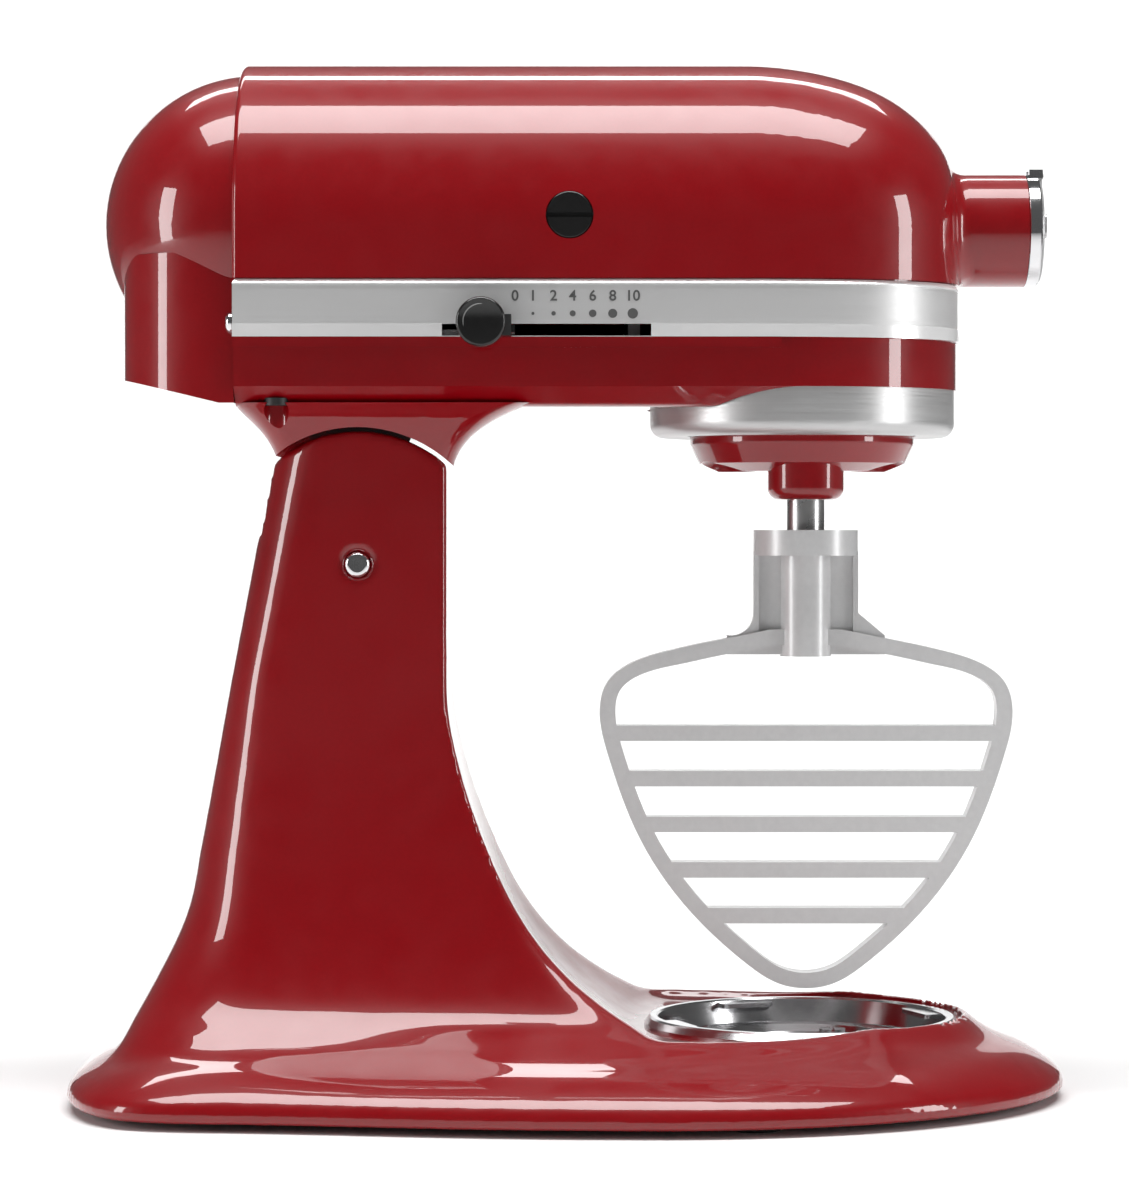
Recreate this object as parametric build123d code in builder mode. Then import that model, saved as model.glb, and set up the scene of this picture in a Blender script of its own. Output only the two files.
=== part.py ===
from build123d import *
import math
import os

# Tilt-head stand mixer, in millimetres.
# X runs forward, Z up, and -Y is the side with the speed lever.
# The origin is on the table, at the centre of the whole object's box.

# ---------------------------------------------------------------- driving dimensions
LENGTH = 340.0
WIDTH = 216.0
HEIGHT = 353.4

FOOT_HEIGHT = 2.0
BASE_TOP_Z = 23.2
COLUMN_HALF = 39.0
COLUMN_ARC_R = 44.7
PIVOT_X = -71.0
PIVOT_Z = 182.5
PIVOT_PIN_R = 4.3
TONGUE_HALF = 22.0
TONGUE_R = 26.0

HEAD_R = 58.0
HEAD_AXIS_Z = HEIGHT - HEAD_R
HEAD_REAR_X = -111.5
NOSE_START_X = 60.0
NOSE_TIP_X = 133.3
BAND_BOTTOM_Z = 257.9
BAND_TOP_Z = 277.3
BAND_RECESS = 1.4
SHELL = 3.0

HUB_Z = 296.9
HUB_R = 19.3
HUB_FRONT_X = 156.2
HUB_BORE_R = 14.5
HUB_SEAT_X = 124.0
NECK_FOOT_X = 118.0
NECK_FILLET_R = 6.0
REAR_RIM_R = 2.2

PLANET_X = 80.0
CASE_HALF = 53.0
CASE_BOTTOM_Z = 241.7
CASE_TOP_Z = 257.7
BELLY_Z = 235.2

GEAR_MODULE = 1.25
RING_TEETH = 51
PLANET_TEETH = 15
AGITATOR_OFFSET = (RING_TEETH - PLANET_TEETH) * GEAR_MODULE / 2
CENTRE_TEETH = 56
DRIVE_TEETH = 14
CROWN_TEETH = 36
HUB_TEETH = 18
AGITATOR_Y = -AGITATOR_OFFSET

SPEED_X = -29.0
SPEED_Z = 262.0
BRUSH_X = 0.0
BRUSH_Z = 298.0

PLATE_X = 80.2
PLATE_TOP_Z = 26.8
PLATE_FLOOR_Z = 17.3
PLATE_REST_Z = 19.7
SLOT_HALF = 24.0
TILT_GAP = 1.3
FOOT_R = 9.0
FOOT_STEM_R = 3.0
PLATE_RIM_R = 52.8
PLATE_FLANGE_R = 54.4
PLATE_WALL_R = 49.0
PLATE_SHEET = 1.6
PLATE_SCREW_R = 2.0
PLATE_SCREW_PCD_R = 24.0
PLATE_SCREWS = [
    (PLATE_X + PLATE_SCREW_PCD_R * math.cos(turn), PLATE_SCREW_PCD_R * math.sin(turn))
    for turn in (math.pi / 3, math.pi, 5 * math.pi / 3)
]
# x and half-width along the nose
NOSE_POINTS = [(77, 56.7), (96, 52.5), (109, 47), (120.7, 38.4), (129, 27.3), (132.6, 14)]
MOTOR_DOOR_R = 39.0
HUB_BUSH_X = 112.0
HUB_BUSH_R = 12.0
KNOB_X = 142.0
KNOB_SCREW_R = 3.0
BRUSH_CAP_R = 7.9
SLOT_Z = 260.1
SLOT_HEIGHT = 4.0
SLOT_LENGTH = 69.0
SLOT_MID_X = -7.6
LIP_END_X = 70.0
CASE_REAR_X = -111.3
CASE_FLOOR_Z = 245.0
CASE_SCREW_Z = 238.0
CASE_SCREWS = [(-97.6, -45), (-97.6, 45)]
BEARING_R = 14.0
# height, rear x, front x, half-width
NECK_SECTIONS = [
    (210, -97, -39.5, 38), (218, -98.6, -38.3, 38.2), (224, -101.5, -34.5, 39.4), (229, -105.5, -28.5, 41.5),
    (233, -109.6, -21, 44.5), (236.5, -111.3, -11, 48),
]
COVER_X = -107.6
COVER_Z = 298.3
COVER_R = 51.7
COVER_HALF = 55.0
COVER_BOX_X = -151.2
COVER_BOX_HALF = 50.2
WORM_R = 6.0
WORM_WHEEL_R = 16.0
WORM_WHEEL_Y = WORM_R + WORM_WHEEL_R
GEAR_DISTANCE = (CENTRE_TEETH + DRIVE_TEETH) * GEAR_MODULE / 2
WORM_WHEEL_X = PLANET_X - math.sqrt(GEAR_DISTANCE**2 - WORM_WHEEL_Y**2)
WORM_WHEEL_TEETH = 26
WORM_PITCH = 2 * math.pi * WORM_WHEEL_R / WORM_WHEEL_TEETH
WORM_ROOT_R = 5.2
TOOTH_TIP = 1.0
TOOTH_ROOT = 1.4
RING_ROOT_R = RING_TEETH * GEAR_MODULE / 2 + TOOTH_ROOT
RING_OUTER_R = RING_ROOT_R + 3.5
RING_BOTTOM_Z = 231.0
CROWN_R = CROWN_TEETH * GEAR_MODULE / 2
CROWN_ROOT_Z = 284.3
CENTRE_TURN = math.degrees(math.atan2(WORM_WHEEL_Y, WORM_WHEEL_X - PLANET_X))
DRIP_R = 52.2
PLANETARY_R = 38.5
PLANETARY_SHAFT_R = 7.0
AGITATOR_BOSS_R = 12.9
AGITATOR_R = 6.35
PIN_Z = 190.5
PIN_R = 1.6
PIN_HALF = 9.5
HUB_SHAFT_R = 6.0
HUB_SOCKET_R = 9.0
BEZEL_FRONT_X = 160.6
COVER_HINGE_X = 161.2
COVER_HINGE_Z = 315.7
BAND_SCREW_Y = 54.0
ROTOR_SHAFT_R = 4.0
ROTOR_R = 23.0
STATOR_R = 42.0
COMMUTATOR_R = 11.0
REAR_BEARING_X = -110.0
KNOB_R = 8.15
BOARD_X = -131.0
BRACKET_X = 19.5
GLAND_X = -133.0
GLAND_Z = 256.0
GLAND_R = 6.4
LOCK_X = -88.0
LOCK_Z = 246.5
LOCK_Y = 53.3
BEATER_DEPTH = 9.0
BEATER_BAR = 5.3
BEATER_TUBE_R = 8.6
BEATER_COLLAR_R = 17.7
BEATER_COLLAR_Z = 185.5
BEATER_TOP_Z = 194.1
BEATER_BAR_HEIGHTS = (63.6, 79.1, 94.5, 110, 125.4)

os.makedirs("parts", exist_ok=True)


def polar_point(radius, angle):
    """A point about the tilt pin, in side view; the angle runs from forwards up to the rear."""
    turn = math.radians(angle)
    return (PIVOT_X + radius * math.cos(turn), PIVOT_Z + radius * math.sin(turn))


def save(piece, name):
    """Label a finished piece and write it to a STEP file of the same name."""
    piece.part.label = name
    export_step(piece.part, f"parts/{name}.step")


# ---------------------------------------------------------------- pedestal
BASE_WIDEST_X = 30.0
BASE_REAR_SIDE = [
    (BASE_WIDEST_X, WIDTH / 2), (-45, 103), (-107, 94.5), (-150, 83.5), (-164.8, 57.5), (-LENGTH / 2, 0),
]
# height above the table, and how far the outline has come in there
BASE_SECTIONS = [(2.6, 1.6), (5, 0), (8, 0.8), (11, 3.2), (14.5, 8), (18.5, 15), (21.6, 24), (BASE_TOP_Z, 35)]
COLUMN_FOOT_Z = 16
COLUMN_TOP_Z = 230
COLUMN_LEVELS = 20
FLARE_START_Z = 140.0
FLARE_HEIGHT = 111.0
CASTING_WALL = 6.0
CAVITY_FOOT_Z = 1.0
CAVITY_TOP_Z = 9.5
COLUMN_CAVITY_Z = 141.0
CAVITY_LEVELS = 12
REAR_CORNER_R = 20.0
RIDGE_R = 8.0
FOOT_PLACES = [(-140, -62), (-140, 62), (60, -84), (60, 84), (148, 0)]


def base_outline(inset):
    """The base's plan, drawn in towards its centre by the inset."""
    scale_x = 1 - 2 * inset / LENGTH
    scale_y = 1 - 2 * inset / WIDTH
    rear_side = [(x * scale_x, y * scale_y) for x, y in BASE_REAR_SIDE]
    with BuildLine() as outline:
        EllipticalCenterArc(
            (BASE_WIDEST_X * scale_x, 0), (LENGTH / 2 - BASE_WIDEST_X) * scale_x, WIDTH / 2 * scale_y,
            start_angle=0, arc_size=90)
        Spline(*rear_side, tangents=[(-1, 0), (0, -1)])
        mirror(about=Plane.XZ)
    make_face(outline.edges())


def column_outline(height, inset=0.0):
    """One level section of the column: flat back, straight flanks and a dished front, flared towards the base."""
    flare = min(max((FLARE_START_Z - height) / FLARE_HEIGHT, 0), 1.02)
    heel = min(max((66 - height) / 42, 0), 1)
    rear_x = -98.8 - 0.19 * (228 - height) - 13 * heel**1.2 + inset
    rear_half = COLUMN_HALF + 16 * flare**3 + 7 * flare**14 - inset
    ridge_x = -41.2 + 45 * flare**1.6 + 23 * flare**6 - inset
    ridge_half = COLUMN_HALF + 26 * flare**2.1 + 6 * flare**12 - inset
    dish = 0.4 + 15 * flare**2.5
    with BuildLine() as outline:
        Line((rear_x, rear_half), (rear_x, -rear_half))
        Line((rear_x, -rear_half), (ridge_x, -ridge_half))
        ThreePointArc((ridge_x, -ridge_half), (ridge_x - dish, 0), (ridge_x, ridge_half))
        Line((ridge_x, ridge_half), (rear_x, rear_half))
    face = make_face(outline.edges())
    corners = face.vertices().sort_by(Axis.X)
    fillet(corners[:2], REAR_CORNER_R + 16 * flare - inset)
    fillet(corners[2:], RIDGE_R - inset / 2)


with BuildPart() as pedestal_casting:
    for height, inset in BASE_SECTIONS:
        with BuildSketch(Plane.XY.offset(height)):
            base_outline(inset)
    loft()
    for level in range(COLUMN_LEVELS + 1):
        height = COLUMN_FOOT_Z + (COLUMN_TOP_Z - COLUMN_FOOT_Z) * level / COLUMN_LEVELS
        with BuildSketch(Plane.XY.offset(height)):
            column_outline(height)
    loft()
    # the top of the column is a saddle about the tilt pin
    with BuildSketch(Plane.XZ.offset(-WIDTH / 2)):
        with Locations((PIVOT_X, PIVOT_Z + 40)):
            Rectangle(120, 80)
        with Locations((PIVOT_X, PIVOT_Z)):
            Circle(COLUMN_ARC_R, mode=Mode.SUBTRACT)
    extrude(amount=WIDTH, mode=Mode.SUBTRACT)
    # slot between the two cheeks, in which the head's tongue turns
    with BuildSketch(Plane.XZ.offset(-SLOT_HALF)):
        with Locations((PIVOT_X, PIVOT_Z)):
            Circle(TONGUE_R + 1.5)
        with BuildLine():
            Polyline(polar_point(0, 0), polar_point(60, 58), polar_point(70, 110), polar_point(60, 164), close=True)
        make_face()
    extrude(amount=2 * SLOT_HALF, mode=Mode.SUBTRACT)
    with BuildSketch(Plane.XZ.offset(-COLUMN_HALF - 5)):
        with Locations((PIVOT_X, PIVOT_Z)):
            Circle(PIVOT_PIN_R)
    extrude(amount=2 * COLUMN_HALF + 10, mode=Mode.SUBTRACT)
    # seat of the bowl clamp plate
    with BuildSketch(Plane.XY.offset(BASE_TOP_Z)):
        with Locations((PLATE_X, 0)):
            Circle(PLATE_FLANGE_R + 0.6)
    extrude(amount=20, mode=Mode.SUBTRACT)
    with BuildSketch(Plane.XY.offset(PLATE_FLOOR_Z - PLATE_SHEET)):
        with Locations((PLATE_X, 0)):
            Circle(PLATE_WALL_R + 0.8)
    extrude(amount=20, mode=Mode.SUBTRACT)
    # hollow underside of the base and of the column
    for height, inset in ((2.6, 12), (CAVITY_TOP_Z, 15)):
        with BuildSketch(Plane.XY.offset(height)):
            base_outline(inset)
    loft(mode=Mode.SUBTRACT)
    for level in range(CAVITY_LEVELS + 1):
        height = CAVITY_FOOT_Z + (COLUMN_CAVITY_Z - CAVITY_FOOT_Z) * level / CAVITY_LEVELS
        with BuildSketch(Plane.XY.offset(height)):
            column_outline(height, CASTING_WALL)
    loft(mode=Mode.SUBTRACT)
    with BuildSketch(Plane.XY.offset(FOOT_HEIGHT)):
        with Locations(*FOOT_PLACES):
            Circle(FOOT_R + 3)
    extrude(amount=CAVITY_TOP_Z + 3.5 - FOOT_HEIGHT)
    with BuildSketch(Plane.XY.offset(FOOT_HEIGHT)):
        with Locations(*FOOT_PLACES):
            Circle(FOOT_R)
    extrude(amount=3, mode=Mode.SUBTRACT)
    with BuildSketch(Plane.XY.offset(FOOT_HEIGHT)):
        with Locations(*FOOT_PLACES):
            Circle(FOOT_STEM_R)
    extrude(amount=8, mode=Mode.SUBTRACT)
    with BuildSketch():
        with Locations(*PLATE_SCREWS):
            Circle(PLATE_SCREW_R)
    extrude(amount=20, mode=Mode.SUBTRACT)
save(pedestal_casting, "pedestal_casting")

with BuildPart() as rubber_feet:
    with BuildSketch():
        with Locations(*FOOT_PLACES):
            Circle(FOOT_R)
    extrude(amount=FOOT_HEIGHT + 3)
    chamfer(rubber_feet.edges().group_by(Axis.Z)[0], 0.6)
    with BuildSketch(Plane.XY.offset(FOOT_HEIGHT + 3)):
        with Locations(*FOOT_PLACES):
            Circle(FOOT_STEM_R)
    extrude(amount=4.5)
save(rubber_feet, "rubber_feet")

with BuildPart() as tilt_pin:
    with BuildSketch(Plane.XZ.offset(-COLUMN_HALF - 1.8)):
        with Locations((PIVOT_X, PIVOT_Z)):
            Circle(PIVOT_PIN_R)
    extrude(amount=2 * COLUMN_HALF + 3.6)
    fillet(tilt_pin.edges().filter_by(GeomType.CIRCLE), 1.7)
save(tilt_pin, "tilt_pin")

# ---------------------------------------------------------------- bowl clamp plate
with BuildPart() as bowl_clamp_plate:
    with BuildSketch(Plane.XZ):
        with BuildLine():
            Polyline(
                (0, PLATE_FLOOR_Z - PLATE_SHEET), (PLATE_WALL_R, PLATE_FLOOR_Z - PLATE_SHEET),
                (PLATE_WALL_R + 0.4, BASE_TOP_Z), (PLATE_FLANGE_R, BASE_TOP_Z),
                (PLATE_FLANGE_R, BASE_TOP_Z + 1), (PLATE_RIM_R, PLATE_TOP_Z - 0.6),
                (PLATE_RIM_R - 0.6, PLATE_TOP_Z), (PLATE_RIM_R - 2.6, PLATE_TOP_Z),
                (PLATE_RIM_R - 3.2, PLATE_TOP_Z - 0.6), (PLATE_WALL_R - 1.4, PLATE_FLOOR_Z + 1.2),
                (PLATE_WALL_R - 2.6, PLATE_FLOOR_Z), (39.6, PLATE_FLOOR_Z), (38, PLATE_REST_Z),
                (30.6, PLATE_REST_Z), (29.2, PLATE_FLOOR_Z), (0, PLATE_FLOOR_Z), close=True)
        make_face()
    revolve(axis=Axis.Z)
    # four bayonet tabs reach in from the wall over the bowl's foot
    with BuildSketch(Plane.XY.offset(PLATE_TOP_Z - 2.6)):
        with PolarLocations(PLATE_WALL_R - 2.4, 4, start_angle=22):
            RectangleRounded(7, 20, 2)
    extrude(amount=1.6)
    with BuildSketch(Plane.XY.offset(PLATE_FLOOR_Z - 3)):
        with PolarLocations(PLATE_SCREW_PCD_R, 3, start_angle=60):
            Circle(PLATE_SCREW_R)
    extrude(amount=6, mode=Mode.SUBTRACT)
bowl_clamp_plate.part.locate(Location((PLATE_X, 0, 0)))
save(bowl_clamp_plate, "bowl_clamp_plate")

with BuildPart() as clamp_plate_screws:
    with BuildSketch(Plane.XY.offset(PLATE_FLOOR_Z - 6.5)):
        with Locations(*PLATE_SCREWS):
            Circle(PLATE_SCREW_R)
    extrude(amount=7)
    with BuildSketch(Plane.XY.offset(PLATE_FLOOR_Z)):
        with Locations(*PLATE_SCREWS):
            Circle(4.6)
            Rectangle(1.2, 10, mode=Mode.SUBTRACT)
    extrude(amount=2)
    with BuildSketch(Plane.XY.offset(PLATE_FLOOR_Z)):
        with Locations(*PLATE_SCREWS):
            Circle(4.6)
    extrude(amount=0.9)
save(clamp_plate_screws, "clamp_plate_screws")


# ---------------------------------------------------------------- head castings
def nose_curve(inset):
    """Points down one side of the nose, drawn in by the inset."""
    ratio = (HEAD_R - inset) / HEAD_R
    side = [(NOSE_START_X + (x - NOSE_START_X) * ratio, y * ratio) for x, y in NOSE_POINTS]
    return [(NOSE_START_X, HEAD_R - inset)] + side + [(NOSE_TIP_X - inset, 0)]


def head_outline(inset=0.0, rear_x=HEAD_REAR_X):
    """The head's plan: straight sides and a blunt round nose, drawn in by the inset."""
    half = HEAD_R - inset
    with BuildLine() as outline:
        Line((rear_x, 0), (rear_x, half))
        Line((rear_x, half), (NOSE_START_X, half))
        Spline(*nose_curve(inset), tangents=[(1, 0), (0, -1)])
        mirror(about=Plane.XZ)
    make_face(outline.edges())


def head_dome(inset=0.0, rear_x=HEAD_REAR_X, mode=Mode.ADD):
    """The round upper half of the head: half of the plan, swung about the head's axis."""
    half = HEAD_R - inset
    with BuildSketch() as half_plan:
        with BuildLine() as outline:
            Line((rear_x, 0), (rear_x, half))
            Line((rear_x, half), (NOSE_START_X, half))
            Spline(*nose_curve(inset), tangents=[(1, 0), (0, -1)])
            Line((NOSE_TIP_X - inset, 0), (rear_x, 0))
        make_face(outline.edges())
    plan = Plane.XY.offset(HEAD_AXIS_Z) * half_plan.sketch
    revolve(plan, axis=Axis((0, 0, HEAD_AXIS_Z), (1, 0, 0)), revolution_arc=180, mode=mode)


with BuildPart() as motor_housing:
    head_dome()
    with BuildSketch(Plane.XY.offset(BAND_TOP_Z)):
        head_outline()
    extrude(amount=HEAD_AXIS_Z - BAND_TOP_Z)
    # neck of the attachment hub
    with BuildSketch(Plane.YZ.offset(NOSE_TIP_X - 12)):
        with Locations((0, HUB_Z)):
            Circle(HUB_R)
    extrude(amount=HUB_FRONT_X - NOSE_TIP_X + 12)
    with BuildSketch(Plane.XY.offset(CASE_TOP_Z)):
        head_outline(BAND_RECESS)
    extrude(amount=BAND_TOP_Z - CASE_TOP_Z)
    neck_foot = [edge for edge in motor_housing.edges().filter_by(GeomType.BSPLINE)
                 if edge.bounding_box().min.X > NECK_FOOT_X and edge.bounding_box().max.X < HUB_FRONT_X]
    fillet([edge for edge in neck_foot if edge.length > HUB_R], NECK_FILLET_R)
    rear_rim = motor_housing.edges().group_by(Axis.X)[0]
    fillet([edge for edge in rear_rim if edge.center().Z > BAND_TOP_Z + 0.5], REAR_RIM_R)
    # hollow inside
    head_dome(SHELL + BAND_RECESS, HEAD_REAR_X + SHELL, Mode.SUBTRACT)
    with BuildSketch(Plane.XY.offset(CASE_TOP_Z)):
        head_outline(SHELL + BAND_RECESS, HEAD_REAR_X + SHELL)
    extrude(amount=HEAD_AXIS_Z - CASE_TOP_Z, mode=Mode.SUBTRACT)
    with BuildSketch(Plane.YZ.offset(HEAD_REAR_X)):
        with Locations((0, HUB_Z)):
            Circle(MOTOR_DOOR_R)
    extrude(amount=SHELL, mode=Mode.SUBTRACT)
    # hub boss and its stepped bore
    with BuildSketch(Plane.YZ.offset(HUB_BUSH_X)):
        with Locations((0, HUB_Z)):
            Circle(HUB_R - 1)
    extrude(amount=NOSE_TIP_X - HUB_BUSH_X)
    with BuildSketch(Plane.YZ.offset(HUB_BUSH_X)):
        with Locations((0, HUB_Z)):
            Circle(HUB_BUSH_R)
    extrude(amount=HUB_SEAT_X - HUB_BUSH_X, mode=Mode.SUBTRACT)
    with BuildSketch(Plane.YZ.offset(HUB_SEAT_X)):
        with Locations((0, HUB_Z)):
            Circle(HUB_BORE_R)
    extrude(amount=HUB_FRONT_X - HUB_SEAT_X, mode=Mode.SUBTRACT)
    # threaded hole of the attachment knob, on the far side of the neck
    with BuildSketch(Plane.XZ.offset(-HUB_R - 2)):
        with Locations((KNOB_X, HUB_Z)):
            Circle(KNOB_SCREW_R)
    extrude(amount=8, mode=Mode.SUBTRACT)
    # holes for the brush caps, and the slot of the speed lever
    with BuildSketch(Plane.XZ.offset(-HEAD_R)):
        with Locations((BRUSH_X, BRUSH_Z)):
            Circle(BRUSH_CAP_R)
    extrude(amount=2 * HEAD_R, mode=Mode.SUBTRACT)
    with BuildSketch(Plane.XZ.offset(HEAD_R - 8)):
        with Locations((SLOT_MID_X, SLOT_Z)):
            Rectangle(SLOT_LENGTH, SLOT_HEIGHT)
    extrude(amount=8, mode=Mode.SUBTRACT)
save(motor_housing, "motor_housing")

with BuildPart() as gear_case:
    # lip under the trim band
    with BuildSketch(Plane.XY.offset(CASE_TOP_Z - 3.2)):
        with Locations(((CASE_REAR_X + LIP_END_X) / 2, 0)):
            Rectangle(LIP_END_X - CASE_REAR_X, 2 * HEAD_R - 2.4)
    extrude(amount=3.2)
    # straight sides and the upright round front
    with BuildSketch(Plane.XY.offset(CASE_BOTTOM_Z)):
        with Locations(((PLANET_X + CASE_REAR_X) / 2, 0)):
            Rectangle(PLANET_X - CASE_REAR_X, 2 * CASE_HALF)
        with Locations((PLANET_X, 0)):
            Circle(CASE_HALF)
    extrude(amount=CASE_TOP_Z - CASE_BOTTOM_Z)
    # belly behind the planetary
    with BuildSketch(Plane.YZ.offset(CASE_REAR_X)):
        with BuildLine():
            Polyline((-CASE_HALF, CASE_BOTTOM_Z + 1), (-CASE_HALF, CASE_BOTTOM_Z), (-CASE_HALF + 10, BELLY_Z),
                     (CASE_HALF - 10, BELLY_Z), (CASE_HALF, CASE_BOTTOM_Z), (CASE_HALF, CASE_BOTTOM_Z + 1),
                     close=True)
        belly = make_face()
        fillet(belly.vertices().group_by(Axis.Y)[0], 8)
    extrude(amount=PLANET_X - CASE_REAR_X)
    with BuildSketch(Plane.XY.offset(CASE_BOTTOM_Z)):
        with Locations((PLANET_X, 0)):
            Circle(CASE_HALF + 0.2)
    extrude(amount=-20, mode=Mode.SUBTRACT)
    # neck down to the column
    for height, rear_x, front_x, half in NECK_SECTIONS:
        with BuildSketch(Plane.XY.offset(height)):
            with Locations(((rear_x + front_x) / 2, 0)):
                RectangleRounded(front_x - rear_x, 2 * half, 9)
    loft()
    with BuildSketch(Plane.XZ.offset(-HEAD_R)):
        with Locations((PIVOT_X, PIVOT_Z)):
            Circle(COLUMN_ARC_R + TILT_GAP)
    extrude(amount=2 * HEAD_R, mode=Mode.SUBTRACT)
    # tongue that hangs on the tilt pin
    with BuildSketch(Plane.XZ.offset(-TONGUE_HALF)):
        with Locations((PIVOT_X, PIVOT_Z)):
            Circle(TONGUE_R)
        with BuildLine():
            Polyline(polar_point(0, 0), polar_point(54, 68), polar_point(54, 112), close=True)
        make_face()
        with Locations((PIVOT_X, PIVOT_Z)):
            Circle(PIVOT_PIN_R + 0.06, mode=Mode.SUBTRACT)
    extrude(amount=2 * TONGUE_HALF)
    # pockets that lighten the belly and the neck
    for bottom, middle_x, length, half in ((240, -42, 124, 38), (232.5, -71, 46, 30)):
        with BuildSketch(Plane.XY.offset(bottom)):
            with Locations((middle_x, 0)):
                RectangleRounded(length, 2 * half, 8)
        extrude(amount=CASE_FLOOR_Z - bottom, mode=Mode.SUBTRACT)
    # gear space, and the bearing boss of the planetary shaft
    with BuildSketch(Plane.XY.offset(CASE_FLOOR_Z)):
        with Locations(((PLANET_X + CASE_REAR_X + 5) / 2, 0)):
            Rectangle(PLANET_X - CASE_REAR_X - 5, 2 * CASE_HALF - 8)
        with Locations((PLANET_X, 0)):
            Circle(CASE_HALF - 4)
    extrude(amount=CASE_TOP_Z - CASE_FLOOR_Z, mode=Mode.SUBTRACT)
    with BuildSketch(Plane.XY.offset(CASE_BOTTOM_Z)):
        with Locations((PLANET_X, 0)):
            Circle(BEARING_R + 4)
    extrude(amount=14.5)
    with BuildSketch(Plane.XY.offset(CASE_BOTTOM_Z)):
        with Locations((PLANET_X, 0)):
            Circle(BEARING_R)
    extrude(amount=14.5, mode=Mode.SUBTRACT)
    # boss for the worm wheel's lower bush
    with BuildSketch(Plane.XY.offset(CASE_FLOOR_Z - 1)):
        with Locations((WORM_WHEEL_X, WORM_WHEEL_Y)):
            Circle(9)
    extrude(amount=12)
    with BuildSketch(Plane.XY.offset(CASE_FLOOR_Z)):
        with Locations((WORM_WHEEL_X, WORM_WHEEL_Y)):
            Circle(6)
    extrude(amount=12, mode=Mode.SUBTRACT)
    # screw bores cut into the slope at the rear
    with BuildSketch(Plane.XY.offset(CASE_SCREW_Z)):
        with Locations(*CASE_SCREWS):
            Circle(4.15)
    extrude(amount=-30, mode=Mode.SUBTRACT)
    with BuildSketch(Plane.XY.offset(CASE_SCREW_Z)):
        with Locations(*CASE_SCREWS):
            Circle(2)
    extrude(amount=8, mode=Mode.SUBTRACT)
    # pivot hole of the lock lever, on the far side
    with BuildSketch(Plane.XZ.offset(-CASE_HALF - 2)):
        with Locations((LOCK_X, LOCK_Z)):
            Circle(4)
    extrude(amount=14, mode=Mode.SUBTRACT)
save(gear_case, "gear_case")

with BuildPart() as rear_cover:
    with Locations((COVER_X, 0, COVER_Z)):
        Sphere(COVER_R)
    scale(by=(1, COVER_HALF / COVER_R, 1))
    with BuildSketch(Plane.XY.offset(COVER_Z - 62)):
        with Locations((COVER_BOX_X + 40, 0)):
            RectangleRounded(80, 2 * COVER_BOX_HALF, 34)
    extrude(amount=50)
    with BuildSketch(Plane.XZ.offset(-HEAD_R)):
        with BuildLine():
            Polyline((COVER_BOX_X - 10, COVER_Z - 100), (HEAD_REAR_X + 60, COVER_Z - 100),
                     (HEAD_REAR_X + 60, 220.5), (COVER_BOX_X - 10, 247.2), close=True)
        make_face()
    extrude(amount=2 * HEAD_R, mode=Mode.SUBTRACT)
    split(bisect_by=Plane.YZ.offset(HEAD_REAR_X), keep=Keep.BOTTOM)
    with Locations((COVER_X, 0, COVER_Z)):
        Sphere(COVER_R - 3, mode=Mode.SUBTRACT)
    with BuildSketch(Plane.XY.offset(250)):
        with Locations((COVER_BOX_X + 43, 0)):
            RectangleRounded(80, 2 * COVER_BOX_HALF - 7, 31)
    extrude(amount=30, mode=Mode.SUBTRACT)
    with BuildSketch(Plane.XZ.offset(-CASE_HALF + 14)):
        with Locations((GLAND_X, GLAND_Z)):
            Circle(GLAND_R)
    extrude(amount=-30, mode=Mode.SUBTRACT)
save(rear_cover, "rear_cover")

with BuildPart() as trim_band:
    for bottom, top, inset in ((BAND_BOTTOM_Z, 262.2, 0), (262.2, 275.1, 0.35), (275.1, BAND_TOP_Z - 0.4, 0)):
        with BuildSketch(Plane.XY.offset(bottom)):
            head_outline(inset, HEAD_REAR_X + 0.2)
        extrude(amount=top - bottom)
    chamfer(trim_band.faces().sort_by(Axis.Z)[-1].edges(), 1.3, 0.9)
    with BuildSketch(Plane.XY.offset(BAND_BOTTOM_Z)):
        head_outline(BAND_RECESS - 0.05, HEAD_REAR_X - 1)
    extrude(amount=30, mode=Mode.SUBTRACT)
    with BuildSketch(Plane.XZ.offset(HEAD_R - 8)):
        with Locations((SLOT_MID_X, SLOT_Z)):
            Rectangle(SLOT_LENGTH, SLOT_HEIGHT)
    extrude(amount=10, mode=Mode.SUBTRACT)
save(trim_band, "trim_band")

with BuildPart() as band_screws:
    with BuildSketch(Plane.YZ.offset(HEAD_REAR_X - 2.2)):
        with Locations((-BAND_SCREW_Y, 262.6), (BAND_SCREW_Y, 262.6)):
            Circle(3.6)
    extrude(amount=2.2)
    fillet(band_screws.edges().group_by(Axis.X)[0], 1.7)
save(band_screws, "band_screws")


# ---------------------------------------------------------------- shared shapes
def disc(x, z, radius, x_end, bore=0.0, mode=Mode.ADD):
    """A round piece along X between two x places, on the axis at height z."""
    with BuildSketch(Plane.YZ.offset(x)) as round_face:
        with Locations((0, z)):
            Circle(radius)
            if bore:
                Circle(bore, mode=Mode.SUBTRACT)
    extrude(round_face.sketch, amount=x_end - x, mode=mode)


def post(x, y, z, radius, z_end, bore=0.0, mode=Mode.ADD):
    """A round upright piece between two heights."""
    with BuildSketch(Plane.XY.offset(z)) as round_face:
        with Locations((x, y)):
            Circle(radius)
            if bore:
                Circle(bore, mode=Mode.SUBTRACT)
    extrude(round_face.sketch, amount=z_end - z, mode=mode)


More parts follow.
